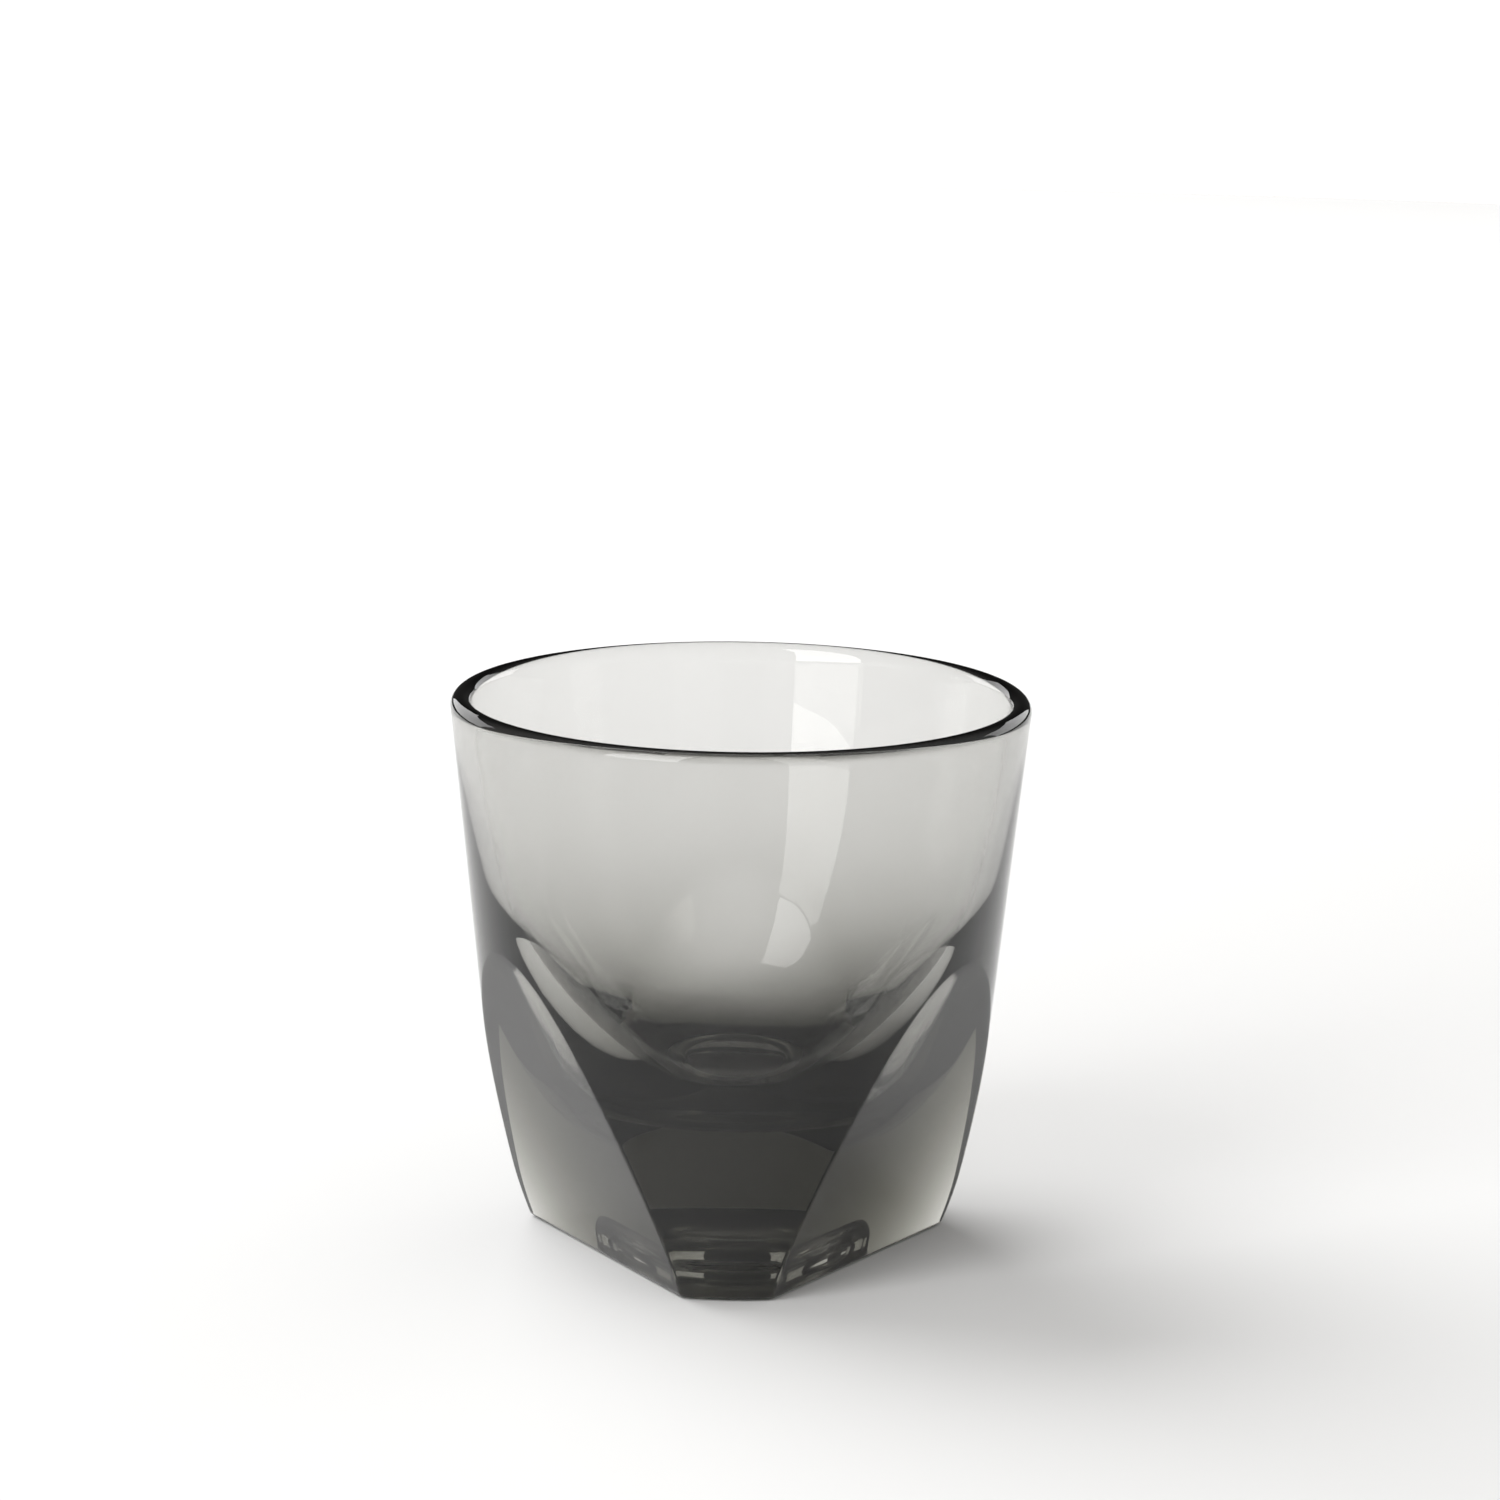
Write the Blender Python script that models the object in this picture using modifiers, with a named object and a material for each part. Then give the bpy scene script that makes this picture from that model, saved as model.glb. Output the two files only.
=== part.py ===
"""Whiskey tumbler: one piece of pressed glass with a round mouth on a heavy, three-cornered foot.

A straight tapered blank is turned about Z, with a deep round-bottomed bowl and a smooth round
hollow under the foot. Three sloping flats then cut the lower half back, so that three rounded
corners of the blank are left standing between them.

The origin is the centre of the foot, on the table. +Z is up, and one foot corner points to -Y.
Units are metres and degrees.
"""

import math

import bmesh
import bpy
from mathutils import Matrix

NODE_NAME = "tumbler_glass"

# Overall size
RIM_RADIUS = 0.040
HEIGHT = 0.0777
OUTER_TAPER_DEG = 6.2

# Lip: a half-round bead as thick as the wall
LIP_THICKNESS = 0.0030

# Foot: the wall curls in gently near the table and ends in a small rounded edge
FOOT_CURL_HEIGHT = 0.0088
FOOT_CURL_IN = 0.00115
FOOT_EDGE_RADIUS = 0.0008

# Bowl: four arcs, each tangent to the next, between these slopes from upright and heights
BOWL_RIM_SLOPE_DEG = 5.4
BOWL_WALL_SLOPE_DEG = 10.5
BOWL_WALL_HEIGHT = 0.0532
BOWL_SHOULDER_SLOPE_DEG = 23.0
BOWL_SHOULDER_HEIGHT = 0.0403
BOWL_WAIST_SLOPE_DEG = 33.0
BOWL_WAIST_HEIGHT = 0.0300
BOWL_FLOOR_HEIGHT = 0.0214

# Hollow under the foot: its side, where it stands upright, runs into a rounded mouth below and
# a rounded roof above, and the two roundings together make up its depth
RECESS_RADIUS = 0.0125
RECESS_MOUTH_RADIUS = 0.0030
RECESS_ROOF_RADIUS = 0.0050
RECESS_DEPTH = RECESS_MOUTH_RADIUS + RECESS_ROOF_RADIUS

# Flats: planes that lean outwards as they rise, one opposite each foot corner
FLAT_COUNT = 3
FLAT_FOOT_DISTANCE = 0.0203
FLAT_LEAN_DEG = 20.05
FLAT_CUTTER_SIZE = 0.150

TURN_STEPS = 96
MERGE_DISTANCE = 0.00001

GLASS_COLOUR = (0.42, 0.42, 0.40, 1.0)
GLASS_ROUGHNESS = 0.03
GLASS_IOR = 1.52


def arc(centre_x, centre_z, radius, start_deg, end_deg, segments):
    """Points (x, z) along an arc, both ends included."""
    points = []
    for i in range(segments + 1):
        angle = math.radians(start_deg + (end_deg - start_deg) * i / segments)
        points.append((centre_x + radius * math.cos(angle), centre_z + radius * math.sin(angle)))
    return points


def bowl_profile():
    """From the centre of the bowl's floor, out and up to where the bowl meets the lip's bead."""
    lip_radius = LIP_THICKNESS / 2
    rim_slope = math.radians(BOWL_RIM_SLOPE_DEG)
    x = RIM_RADIUS - lip_radius - lip_radius * math.cos(rim_slope)
    rim_height = HEIGHT - lip_radius + lip_radius * math.sin(rim_slope)
    # Slope and height where each arc ends, and how many segments the arc gets
    arcs = (
        (BOWL_WALL_SLOPE_DEG, BOWL_WALL_HEIGHT, 2),
        (BOWL_SHOULDER_SLOPE_DEG, BOWL_SHOULDER_HEIGHT, 5),
        (BOWL_WAIST_SLOPE_DEG, BOWL_WAIST_HEIGHT, 2),
        (90.0, BOWL_FLOOR_HEIGHT, 8),
    )
    downwards = []
    slope = rim_slope
    z = rim_height
    for end_slope_deg, end_z, segments in arcs:
        end_slope = math.radians(end_slope_deg)
        radius = (z - end_z) / (math.sin(end_slope) - math.sin(slope))
        centre_x = x - radius * math.cos(slope)
        centre_z = z + radius * math.sin(slope)
        downwards += arc(centre_x, centre_z, radius,
                         -math.degrees(slope), -end_slope_deg, segments)[1:]
        x, z = downwards[-1]
        slope = end_slope
    return [(0.0, BOWL_FLOOR_HEIGHT)] + downwards[::-1]


def lip_profile():
    """Over the lip, from the bowl's side to the outside."""
    lip_radius = LIP_THICKNESS / 2
    return arc(RIM_RADIUS - lip_radius, HEIGHT - lip_radius, lip_radius,
               180 - BOWL_RIM_SLOPE_DEG, -OUTER_TAPER_DEG, 10)


def outer_radius(z):
    """Radius of the outside at a height, without the lip's bead and the foot's rounded edge."""
    taper = math.radians(OUTER_TAPER_DEG)
    lip_radius = LIP_THICKNESS / 2
    wall_x = RIM_RADIUS - lip_radius + lip_radius * math.cos(taper)
    wall_z = HEIGHT - lip_radius - lip_radius * math.sin(taper)
    radius = wall_x - (wall_z - z) * math.tan(taper)
    if z < FOOT_CURL_HEIGHT:
        radius -= FOOT_CURL_IN * (1 - z / FOOT_CURL_HEIGHT) ** 2
    return radius


def foot_profile():
    """Down the foot's curl and round its edge to the face that rests on the table."""
    curl_steps = 5
    points = []
    for i in range(curl_steps + 1):
        z = FOOT_CURL_HEIGHT + (FOOT_EDGE_RADIUS - FOOT_CURL_HEIGHT) * i / curl_steps
        points.append((outer_radius(z), z))
    edge_x = outer_radius(FOOT_EDGE_RADIUS) - FOOT_EDGE_RADIUS
    edge = arc(edge_x, FOOT_EDGE_RADIUS, FOOT_EDGE_RADIUS, 0, -90, 3)
    return points + edge[1:]


def recess_profile():
    """Under the foot, from the rounded mouth of the hollow to the middle of its roof."""
    mouth = arc(RECESS_RADIUS + RECESS_MOUTH_RADIUS, RECESS_MOUTH_RADIUS, RECESS_MOUTH_RADIUS,
                -90, -180, 5)
    roof = arc(RECESS_RADIUS - RECESS_ROOF_RADIUS, RECESS_MOUTH_RADIUS, RECESS_ROOF_RADIUS,
               0, 90, 6)
    return mouth + roof[1:] + [(0.0, RECESS_DEPTH)]


def link_to(name, thing):
    """Put an object in the collection of that name, which is made when first asked for."""
    collection = bpy.data.collections.get(name)
    if collection is None:
        collection = bpy.data.collections.new(name)
        bpy.context.scene.collection.children.link(collection)
    collection.objects.link(thing)


def make_blank():
    """Turn the profile about Z, starting at the bowl's floor and ending under the foot."""
    profile = bowl_profile() + lip_profile() + foot_profile() + recess_profile()
    mesh = bpy.data.meshes.new(NODE_NAME)
    bm = bmesh.new()
    verts = [bm.verts.new((x, 0.0, z)) for x, z in profile]
    for first, second in zip(verts, verts[1:]):
        bm.edges.new((first, second))
    bm.to_mesh(mesh)
    bm.free()

    blank = bpy.data.objects.new(NODE_NAME, mesh)
    link_to("whiskey_tumbler", blank)
    screw = blank.modifiers.new("turn", "SCREW")
    screw.axis = "Z"
    screw.steps = TURN_STEPS
    screw.render_steps = TURN_STEPS
    screw.use_merge_vertices = True
    screw.merge_threshold = MERGE_DISTANCE
    screw.use_smooth_shade = True
    return blank


def make_flat_cutter(index):
    """A block whose inner face is one flat; the first flat is opposite the corner at -Y."""
    bm = bmesh.new()
    bmesh.ops.create_cube(bm, size=FLAT_CUTTER_SIZE)
    half = FLAT_CUTTER_SIZE / 2
    # The block's inner face stands on the Y axis, and leans outwards about the foot's edge.
    bmesh.ops.translate(bm, verts=bm.verts, vec=(0.0, half, 0.0))
    bmesh.ops.rotate(bm, verts=bm.verts, cent=(0.0, 0.0, 0.0),
                     matrix=Matrix.Rotation(-math.radians(FLAT_LEAN_DEG), 3, "X"))
    bmesh.ops.translate(bm, verts=bm.verts, vec=(0.0, FLAT_FOOT_DISTANCE, 0.0))
    turn = Matrix.Rotation(math.radians(index * 360 / FLAT_COUNT), 3, "Z")
    bmesh.ops.rotate(bm, verts=bm.verts, cent=(0.0, 0.0, 0.0), matrix=turn)

    name = f"flat_cutter_{index + 1}"
    mesh = bpy.data.meshes.new(name)
    bm.to_mesh(mesh)
    bm.free()
    cutter = bpy.data.objects.new(name, mesh)
    cutter.hide_render = True
    cutter.display_type = "WIRE"
    link_to("cutters", cutter)
    return cutter


def make_glass_material():
    """Smoke-grey clear glass."""
    material = bpy.data.materials.new("smoke_glass")
    material.use_nodes = True
    shader = material.node_tree.nodes["Principled BSDF"]
    shader.inputs["Base Color"].default_value = GLASS_COLOUR
    shader.inputs["Roughness"].default_value = GLASS_ROUGHNESS
    shader.inputs["Metallic"].default_value = 0.0
    shader.inputs["IOR"].default_value = GLASS_IOR
    shader.inputs["Transmission Weight"].default_value = 1.0
    return material


def build():
    for old in list(bpy.data.objects):
        bpy.data.objects.remove(old, do_unlink=True)

    tumbler = make_blank()
    for index in range(FLAT_COUNT):
        cut = tumbler.modifiers.new(f"flat_{index + 1}", "BOOLEAN")
        cut.operation = "DIFFERENCE"
        cut.solver = "EXACT"
        cut.object = make_flat_cutter(index)
    tumbler.data.materials.append(make_glass_material())


build()
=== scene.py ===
import math

import bpy
import numpy as np
from mathutils import Matrix, Vector


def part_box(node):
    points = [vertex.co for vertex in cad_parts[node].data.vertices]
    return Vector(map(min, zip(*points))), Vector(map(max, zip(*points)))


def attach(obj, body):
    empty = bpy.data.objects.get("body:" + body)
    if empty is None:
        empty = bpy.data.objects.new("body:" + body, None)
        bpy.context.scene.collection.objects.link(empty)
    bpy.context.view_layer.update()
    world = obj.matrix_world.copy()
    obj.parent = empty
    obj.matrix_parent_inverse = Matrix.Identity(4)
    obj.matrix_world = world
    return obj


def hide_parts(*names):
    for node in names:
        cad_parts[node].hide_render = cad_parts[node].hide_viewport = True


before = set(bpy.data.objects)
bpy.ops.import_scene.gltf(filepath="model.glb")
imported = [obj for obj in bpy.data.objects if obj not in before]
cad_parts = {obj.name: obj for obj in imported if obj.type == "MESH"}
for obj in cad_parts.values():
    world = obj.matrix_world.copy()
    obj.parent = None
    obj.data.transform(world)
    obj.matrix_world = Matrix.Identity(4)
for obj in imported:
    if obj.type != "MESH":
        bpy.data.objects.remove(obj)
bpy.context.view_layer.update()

CAD_NODE = "tumbler_glass"

# ---------------------------------------------------------------- dimensions, in metres and degrees
MM = 0.001
low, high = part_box(CAD_NODE)
RIM_RADIUS = (high[0] - low[0]) / 2
HEIGHT = high[2]

OUTER_TAPER = math.radians(6.2)
LIP_RADIUS = 1.5 * MM
FOOT_CURL_HEIGHT = 8.8 * MM
FOOT_CURL_IN = 1.15 * MM
FOOT_EDGE_RADIUS = 0.8 * MM

# The bowl's slope from upright, and the height where it has that slope. Arcs join them.
BOWL_RIM_SLOPE = math.radians(5.4)
BOWL_WALL_SLOPE = math.radians(10.5)
BOWL_WALL_END = 53.2 * MM
BOWL_SHOULDER_SLOPE = math.radians(23.0)
BOWL_SHOULDER_END = 40.3 * MM
BOWL_WAIST_SLOPE = math.radians(33.0)
BOWL_WAIST_END = 30.0 * MM
BOWL_FLOOR = 21.4 * MM

RECESS_RADIUS = 12.5 * MM
RECESS_MOUTH_RADIUS = 3.0 * MM
RECESS_ROOF_RADIUS = 5.0 * MM
RECESS_DEPTH = RECESS_MOUTH_RADIUS + RECESS_ROOF_RADIUS

# One flat faces +Y, at 90 degrees
FLAT_COUNT = 3
FIRST_FLAT = 90.0
FLAT_FOOT_DISTANCE = 20.3 * MM
FLAT_LEAN = math.radians(20.05)
FLAT_EDGE_RADIUS = 1.0 * MM
ARCH_STEPS = 40

# Slow unevenness that pressing and fire-polishing leave in the surfaces
OUTER_WAVE = 0.03 * MM
BOWL_WAVE = 0.12 * MM
# Each wave's lobes round the axis, and its twist with height in radians per metre. The shift puts
# the waves out of step, and their sum is divided by the peak.
WAVE_LOBES = ((2, 31.0), (3, 47.0), (5, 83.0), (7, 120.0), (11, 190.0))
WAVE_SHIFT = 1.7
WAVE_PEAK = 2.3

# The mesh's rows along each stretch of the profile
ROOF_ROWS = 4
ROOF_ARC_ROWS = 13
MOUTH_ARC_ROWS = 11
FOOT_ROWS = 8
FOOT_EDGE_ROWS = 7
FLAT_ROWS = 28
FLAT_EDGE_ROWS = 8
CONE_ROWS = 28
LIP_ROWS = 24
BOWL_FLOOR_ROWS = 7
# Where a flat's edge reaches the table, the rows for its rounding still start and end this high
LOWEST_START = 4.0 * MM
LOWEST_END = 5.4 * MM

# The mesh's columns, by angle from the middle of a flat. They are close together between these
# two angles, where the flat's edge runs almost upright.
EDGE_FROM = 42.0
EDGE_TO = 52.0
FACE_COLUMNS = 40
EDGE_COLUMNS = 28
CORNER_COLUMNS = 9

# Smoke grey with a trace of warmth. The density is per metre of glass.
GLASS_COLOUR = (0.205, 0.20, 0.15, 1.0)
GLASS_DENSITY = 96.0
GLASS_IOR = 1.52


# ---------------------------------------------------------------- the glass
def steps(start, end, count):
    """Equal steps that end on the last value, without the first one."""
    return np.linspace(start, end, count + 1)[1:]


def lip_centre():
    """Middle of the lip's half-round bead: distance from the axis, and height."""
    return RIM_RADIUS - LIP_RADIUS, HEIGHT - LIP_RADIUS


def cone_radius(z):
    """Radius of the turned outside at height z."""
    lip_x, lip_z = lip_centre()
    wall_x = lip_x + LIP_RADIUS * math.cos(OUTER_TAPER)
    wall_z = lip_z - LIP_RADIUS * math.sin(OUTER_TAPER)
    curl = np.clip(1 - z / FOOT_CURL_HEIGHT, 0, None) ** 2
    return wall_x - (wall_z - z) * math.tan(OUTER_TAPER) - FOOT_CURL_IN * curl


def flat_distance(z):
    """How far a flat stands from the axis at height z."""
    return FLAT_FOOT_DISTANCE + z * math.tan(FLAT_LEAN)


def flat_angle(azimuth):
    """Angle from the middle of the nearest flat, 0 to 60 degrees."""
    sector = 2 * math.pi / FLAT_COUNT
    return np.abs((azimuth - math.radians(FIRST_FLAT) + sector / 2) % sector - sector / 2)


def edge_rounding(across):
    """How far the rounding of a flat's edge reaches, less where flat and cone nearly line up."""
    along = math.cos(OUTER_TAPER) * math.cos(FLAT_LEAN) * across
    return FLAT_EDGE_RADIUS * (1 - (along + math.sin(OUTER_TAPER) * math.sin(FLAT_LEAN)))


def outer_distance(azimuth, z, inset=0.0):
    """Distance from the axis to the outside, where the flats cut the cone back.

    Close to a flat's edge the distance solves a quadratic, which puts it on a small rounding
    that runs tangent into the cone on one side and into the flat on the other.
    """
    across = np.cos(flat_angle(azimuth))
    cone = cone_radius(z) - inset
    flat = flat_distance(z) - inset
    sharp = np.minimum(cone, flat / across)
    rounding = edge_rounding(across)
    cone_tilt = math.cos(OUTER_TAPER)
    flat_tilt = math.cos(FLAT_LEAN)
    from_cone = rounding - cone_tilt * cone
    from_flat = rounding - flat_tilt * flat
    squared = cone_tilt ** 2 + (flat_tilt * across) ** 2
    linear = 2 * (cone_tilt * from_cone + flat_tilt * across * from_flat)
    constant = from_cone ** 2 + from_flat ** 2 - rounding ** 2
    root = np.sqrt(np.clip(linear ** 2 - 4 * squared * constant, 0, None))
    rounded = (root - linear) / (2 * squared)
    behind_cone = cone_tilt * (sharp - cone)
    behind_flat = flat_tilt * (sharp * across - flat)
    near_edge = np.minimum(behind_cone, behind_flat) > -rounding
    return np.where(near_edge, rounded, sharp)


def arch_height(azimuth):
    """Height at which a flat runs out into the cone, by bisection."""
    across = np.cos(flat_angle(azimuth))
    bottom = np.zeros_like(across)
    top = np.full_like(across, HEIGHT)
    for _ in range(ARCH_STEPS):
        middle = (bottom + top) / 2
        in_flat = flat_distance(middle) < cone_radius(middle) * across
        bottom = np.where(in_flat, middle, bottom)
        top = np.where(in_flat, top, middle)
    return (bottom + top) / 2


def azimuths():
    """Directions of the mesh's columns, from the middle of one flat right round."""
    sector_width = 360.0 / FLAT_COUNT
    corner = sector_width / 2
    face = np.linspace(0.0, EDGE_FROM, FACE_COLUMNS, endpoint=False)
    edge = np.linspace(EDGE_FROM, EDGE_TO, EDGE_COLUMNS, endpoint=False)
    before = np.linspace(EDGE_TO, corner, CORNER_COLUMNS, endpoint=False)
    after = np.linspace(EDGE_TO, corner, CORNER_COLUMNS)
    mirrored = sector_width - np.concatenate([face, edge, after])[1:][::-1]
    sector = np.concatenate([face, edge, before, mirrored])
    turns = [sector + FIRST_FLAT + sector_width * k for k in range(FLAT_COUNT)]
    return np.radians(np.concatenate(turns))


def wave(azimuth, z, seed):
    """A slow, closed unevenness between -1 and 1."""
    total = 0.0
    for order, (count, twist) in enumerate(WAVE_LOBES, start=1):
        total = total + np.sin(count * azimuth + twist * z + seed * order * WAVE_SHIFT) / order
    return total / WAVE_PEAK


def bowl_curve():
    """The bowl below the lip: arcs, each tangent to the next, and a flat floor."""
    lip_x, lip_z = lip_centre()
    x = lip_x - LIP_RADIUS * math.cos(BOWL_RIM_SLOPE)
    slope = BOWL_RIM_SLOPE
    z = lip_z + LIP_RADIUS * math.sin(BOWL_RIM_SLOPE)
    # Slope and height where each arc ends, and its rows in the mesh
    arcs = (
        (BOWL_WALL_SLOPE, BOWL_WALL_END, 14),
        (BOWL_SHOULDER_SLOPE, BOWL_SHOULDER_END, 8),
        (BOWL_WAIST_SLOPE, BOWL_WAIST_END, 16),
        (math.pi / 2, BOWL_FLOOR, 24),
    )
    points = []
    for end_slope, end_z, arc_rows in arcs:
        radius = (z - end_z) / (math.sin(end_slope) - math.sin(slope))
        for angle in steps(slope, end_slope, arc_rows):
            points.append((x - radius * (math.cos(slope) - math.cos(angle)),
                           z - radius * (math.sin(angle) - math.sin(slope))))
        x, z = points[-1]
        slope = end_slope
    for t in steps(1, 0, BOWL_FLOOR_ROWS)[:-1]:
        points.append((x * t, BOWL_FLOOR))
    return points


def profile_rows(columns):
    """Rows of (distance from axis, height) with a value per column, from the hollow to the bowl."""
    rows = []

    def add(distance, z):
        rows.append((np.broadcast_to(distance, columns.shape), np.broadcast_to(z, columns.shape)))

    # The hollow's roof, its rounding into the upright side, then the rounded mouth
    for t in steps(0, 1, ROOF_ROWS):
        add((RECESS_RADIUS - RECESS_ROOF_RADIUS) * t, RECESS_DEPTH)
    for angle in np.radians(steps(90, 0, ROOF_ARC_ROWS)):
        add(RECESS_RADIUS - RECESS_ROOF_RADIUS * (1 - math.cos(angle)),
            RECESS_DEPTH - RECESS_ROOF_RADIUS * (1 - math.sin(angle)))
    for angle in np.radians(steps(0, 90, MOUTH_ARC_ROWS)):
        add(RECESS_RADIUS + RECESS_MOUTH_RADIUS * (1 - math.cos(angle)),
            RECESS_MOUTH_RADIUS * (1 - math.sin(angle)))
    # The face that rests on the table, out to the rounded edge
    inner = RECESS_RADIUS + RECESS_MOUTH_RADIUS
    edge = outer_distance(columns, np.zeros_like(columns), FOOT_EDGE_RADIUS)
    for t in steps(0, 1, FOOT_ROWS):
        add(inner + (edge - inner) * t, 0.0)
    # The foot's rounded edge
    for angle in np.radians(steps(90, 0, FOOT_EDGE_ROWS)):
        z = FOOT_EDGE_RADIUS * (1 - math.sin(angle))
        inset = FOOT_EDGE_RADIUS * (1 - math.cos(angle))
        add(outer_distance(columns, np.full_like(columns, z), inset), z)
    # Up the flat, round its edge, and up the cone to the lip
    across = np.cos(flat_angle(columns))
    arch = arch_height(columns)
    parting = np.tan(FLAT_LEAN) / across - np.tan(OUTER_TAPER)
    radius = edge_rounding(across)
    below = radius / (math.cos(OUTER_TAPER) * parting)
    above = radius / (math.cos(FLAT_LEAN) * across * parting)
    start = np.sqrt(np.clip(arch - below, 0, None) ** 2 + LOWEST_START ** 2)
    end = np.sqrt(np.clip(arch + above, 0, None) ** 2 + LOWEST_END ** 2)
    lip_x, lip_z = lip_centre()
    top = lip_z - LIP_RADIUS * math.sin(OUTER_TAPER)
    for t in steps(0, 1, FLAT_ROWS):
        z = FOOT_EDGE_RADIUS + (start - FOOT_EDGE_RADIUS) * t
        add(outer_distance(columns, z), z)
    for t in steps(0, 1, FLAT_EDGE_ROWS):
        z = start + (end - start) * t
        add(outer_distance(columns, z), z)
    for t in steps(0, 1, CONE_ROWS):
        z = end + (top - end) * t
        uneven = OUTER_WAVE * math.sin(math.pi * t) * wave(columns, z, seed=1)
        add(outer_distance(columns, z) + uneven, z)
    # Over the lip
    for angle in steps(-OUTER_TAPER, math.pi - BOWL_RIM_SLOPE, LIP_ROWS):
        add(lip_x + LIP_RADIUS * math.cos(angle), lip_z + LIP_RADIUS * math.sin(angle))
    # Down the bowl's side and in along its floor
    bowl = bowl_curve()
    for (x, z), t in zip(bowl, np.linspace(0, 1, len(bowl))):
        uneven = BOWL_WAVE * math.sin(math.pi * t) * wave(columns, z, seed=2)
        add(x + uneven, z)
    return rows


def make_glass():
    """One closed mesh, from the middle of the hollow's roof to the middle of the bowl's floor."""
    columns = azimuths()
    rows = profile_rows(columns)
    count = len(columns)
    points = [np.array([[0.0, 0.0, RECESS_DEPTH]])]
    for distance, z in rows:
        x = distance * np.cos(columns)
        y = distance * np.sin(columns)
        points.append(np.stack([x, y, z], axis=1))
    points.append(np.array([[0.0, 0.0, BOWL_FLOOR]]))
    points = np.concatenate(points)

    ring = np.arange(count)
    neighbours = list(zip(ring, np.roll(ring, -1)))
    faces = [(0, 1 + b, 1 + a) for a, b in neighbours]
    for row in range(len(rows) - 1):
        first = 1 + row * count
        second = first + count
        faces += [(first + a, first + b, second + b, second + a) for a, b in neighbours]
    last = 1 + (len(rows) - 1) * count
    pole = len(points) - 1
    faces += [(last + a, last + b, pole) for a, b in neighbours]

    mesh = bpy.data.meshes.new("tumbler_body")
    mesh.from_pydata(points.tolist(), [], faces)
    mesh.update()
    mesh.shade_smooth()
    piece = bpy.data.objects.new("tumbler_body", mesh)
    bpy.context.scene.collection.objects.link(piece)
    return piece


def glass_material():
    """Clear glass that darkens with the length of glass behind it."""
    material = bpy.data.materials.new("smoke_glass")
    material.use_nodes = True
    nodes = material.node_tree.nodes
    links = material.node_tree.links
    shader = nodes["Principled BSDF"]
    shader.inputs["Base Color"].default_value = (1.0, 1.0, 1.0, 1.0)
    shader.inputs["Roughness"].default_value = 0.0
    shader.inputs["IOR"].default_value = GLASS_IOR
    shader.inputs["Transmission Weight"].default_value = 1.0
    volume = nodes.new("ShaderNodeVolumeAbsorption")
    volume.inputs["Color"].default_value = GLASS_COLOUR
    volume.inputs["Density"].default_value = GLASS_DENSITY
    links.new(volume.outputs["Volume"], nodes["Material Output"].inputs["Volume"])
    return material


glass = make_glass()
glass.data.materials.append(glass_material())
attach(glass, "root")
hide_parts(CAD_NODE)


# ---------------------------------------------------------------- floor, light and camera
FLOOR_PALE = 0.80
FLOOR_RADIUS = 1.2
FLOOR_DROP = 0.05 * MM

# The surround: its level, how far that falls off straight behind and overhead, the two +Y
# directions that the fall behind lies between, and the level that the camera sees
WORLD_COLOUR = (1.0, 0.985, 0.955, 1.0)
WORLD_LEVEL = 0.55
WORLD_BACK_DROP = 0.50
WORLD_UP_DROP = 0.08
WORLD_BACK_FROM = 0.30
WORLD_BACK_TO = 0.95
WORLD_WHITE = 1.1

# The floor's own light: watts, diameter and place
FLOOR_LIGHT = 40.0
FLOOR_LIGHT_SIZE = 2.2
FLOOR_LIGHT_PLACE = (-1.15, 1.0, 1.4)

# The upright softboxes stand this far from the tumbler. Each row gives a name, the azimuth in
# degrees (0 is the camera's side, positive to its right), then width, bottom, top and radiance.
SOFTBOX_DISTANCE = 1.2
SOFTBOXES = (
    ("key_softbox", -37, 0.64, 0.11, 1.90, 4.4),
    ("key_skirt", -37, 0.64, 0.0, 0.11, 1.8),
    ("back_panel_left", -140, 0.9, 0.12, 0.65, 1.9),
    ("back_panel_right", 140, 0.9, 0.12, 0.65, 1.8),
)

# The camera: millimetres, then metres and radians
CAMERA_LENS = 161.4
CAMERA_SENSOR = 36.0
CAMERA_PLACE = (0.0257, -0.9065, 0.2602)
CAMERA_TURN = 0.0269
CAMERA_PITCH = 0.2068
CAMERA_ROLL = 0.0143


def math_node(tree, operation, *inputs):
    """A Math node; each input is a socket to link or a plain number."""
    node = tree.nodes.new("ShaderNodeMath")
    node.operation = operation
    for socket, value in zip(node.inputs, inputs):
        if isinstance(value, bpy.types.NodeSocket):
            tree.links.new(value, socket)
        else:
            socket.default_value = value
    return node.outputs[0]


def smooth_range(tree, value, start, end):
    """0 up to start, 1 from end on, and a smooth rise between them."""
    node = tree.nodes.new("ShaderNodeMapRange")
    node.interpolation_type = "SMOOTHSTEP"
    node.inputs["From Min"].default_value = start
    node.inputs["From Max"].default_value = end
    tree.links.new(value, node.inputs["Value"])
    return node.outputs["Result"]


def camera_switch(tree, seen_elsewhere, seen_by_camera):
    """One value for what the camera sees directly, and another for what shows in the glass."""
    path = tree.nodes.new("ShaderNodeLightPath")
    direct = path.outputs["Is Camera Ray"]
    gap = math_node(tree, "SUBTRACT", seen_by_camera, seen_elsewhere)
    return math_node(tree, "MULTIPLY_ADD", gap, direct, seen_elsewhere)


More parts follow.
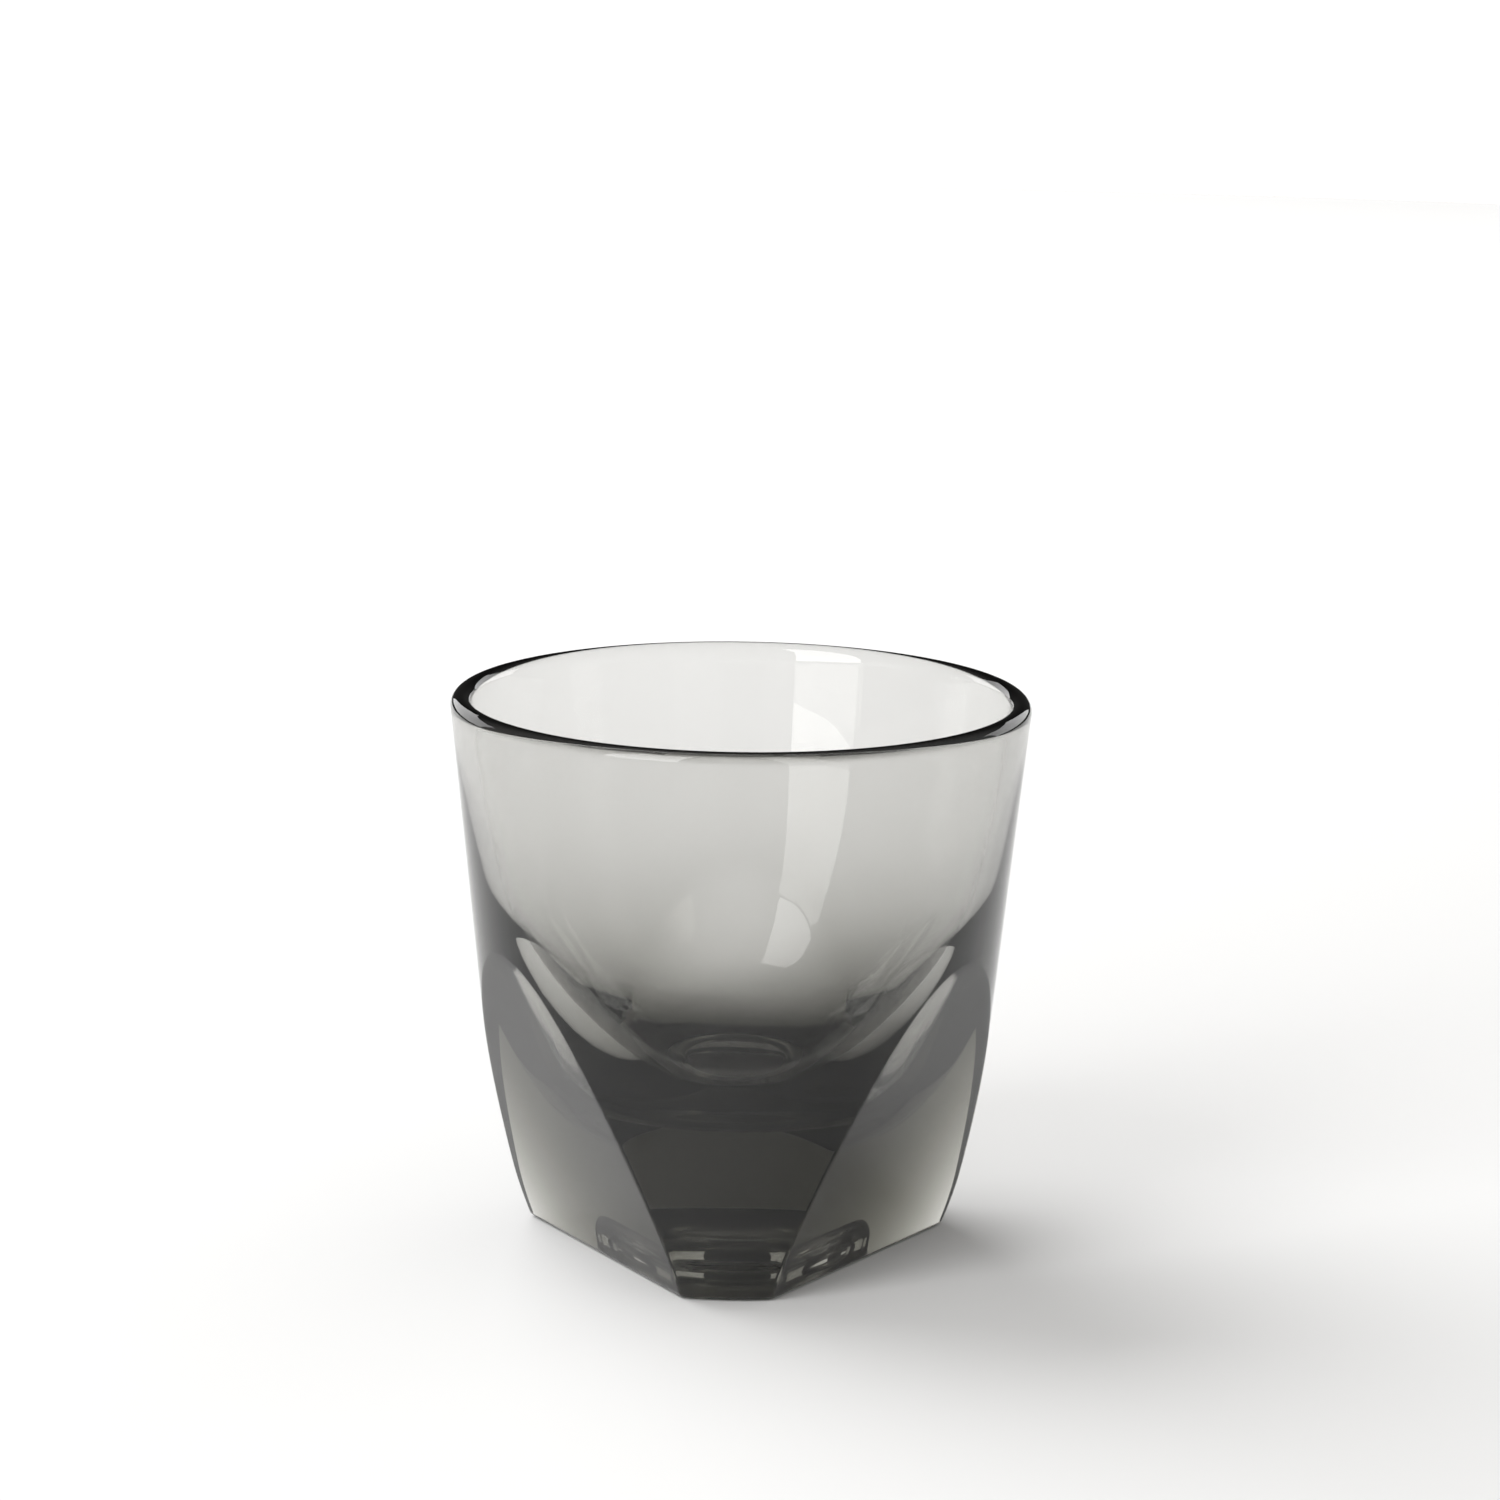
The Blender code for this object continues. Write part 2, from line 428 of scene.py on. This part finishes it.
def make_floor():
    """A plain pale disc, a hair under the foot."""
    bpy.ops.mesh.primitive_circle_add(vertices=256, radius=FLOOR_RADIUS, fill_type="NGON",
                                      location=(0.0, 0.0, -FLOOR_DROP))
    floor = bpy.context.object
    floor.name = "floor"
    material = bpy.data.materials.new("pale_floor")
    material.use_nodes = True
    shader = material.node_tree.nodes["Principled BSDF"]
    shader.inputs["Base Color"].default_value = (FLOOR_PALE, FLOOR_PALE, FLOOR_PALE, 1.0)
    shader.inputs["Roughness"].default_value = 1.0
    shader.inputs["Specular IOR Level"].default_value = 0.0
    floor.data.materials.append(material)


def make_softbox(name, azimuth, width, bottom, top, radiance):
    """An upright softbox that faces the tumbler."""
    turn = math.radians(azimuth)
    data = bpy.data.lights.new(name, "AREA")
    data.shape = "RECTANGLE"
    data.size = width
    data.size_y = top - bottom
    data.energy = radiance * math.pi * width * (top - bottom)
    light = bpy.data.objects.new(name, data)
    light.location = (SOFTBOX_DISTANCE * math.sin(turn), -SOFTBOX_DISTANCE * math.cos(turn),
                      (top + bottom) / 2)
    light.rotation_euler = (math.pi / 2, 0.0, turn)
    bpy.context.scene.collection.objects.link(light)


def make_floor_light():
    """A wide light above, on the left and behind. It doesn't show in the glass."""
    data = bpy.data.lights.new("floor_light", "AREA")
    data.shape = "DISK"
    data.size = FLOOR_LIGHT_SIZE
    data.energy = FLOOR_LIGHT
    light = bpy.data.objects.new("floor_light", data)
    light.location = FLOOR_LIGHT_PLACE
    light.rotation_euler = Vector(FLOOR_LIGHT_PLACE).to_track_quat("Z", "Y").to_euler()
    light.visible_glossy = False
    light.visible_transmission = False
    bpy.context.scene.collection.objects.link(light)


def make_world():
    """An even studio surround with a darker gap straight behind, white to the camera."""
    world = bpy.data.worlds.new("studio")
    bpy.context.scene.world = world
    world.use_nodes = True
    tree = world.node_tree
    background = tree.nodes["Background"]
    coords = tree.nodes.new("ShaderNodeTexCoord")
    split = tree.nodes.new("ShaderNodeSeparateXYZ")
    tree.links.new(coords.outputs["Generated"], split.inputs[0])
    behind = smooth_range(tree, split.outputs["Y"], WORLD_BACK_FROM, WORLD_BACK_TO)
    level = math_node(tree, "MULTIPLY_ADD", behind, -WORLD_BACK_DROP, WORLD_LEVEL)
    level = math_node(tree, "MULTIPLY_ADD", split.outputs["Z"], -WORLD_UP_DROP, level)
    tree.links.new(camera_switch(tree, level, WORLD_WHITE), background.inputs["Strength"])
    background.inputs["Color"].default_value = WORLD_COLOUR


def make_camera():
    """A long lens that looks slightly down at the tumbler."""
    data = bpy.data.cameras.new("camera")
    data.lens = CAMERA_LENS
    data.sensor_width = CAMERA_SENSOR
    data.clip_start = 0.01
    camera = bpy.data.objects.new("camera", data)
    camera.matrix_world = (
        Matrix.Translation(CAMERA_PLACE)
        @ Matrix.Rotation(CAMERA_TURN, 4, "Z")
        @ Matrix.Rotation(math.pi / 2 - CAMERA_PITCH, 4, "X")
        @ Matrix.Rotation(CAMERA_ROLL, 4, "Z")
    )
    bpy.context.scene.collection.objects.link(camera)
    bpy.context.scene.camera = camera


make_floor()
make_world()
for softbox in SOFTBOXES:
    make_softbox(*softbox)
make_floor_light()
make_camera()
bpy.context.scene.view_settings.view_transform = "Standard"
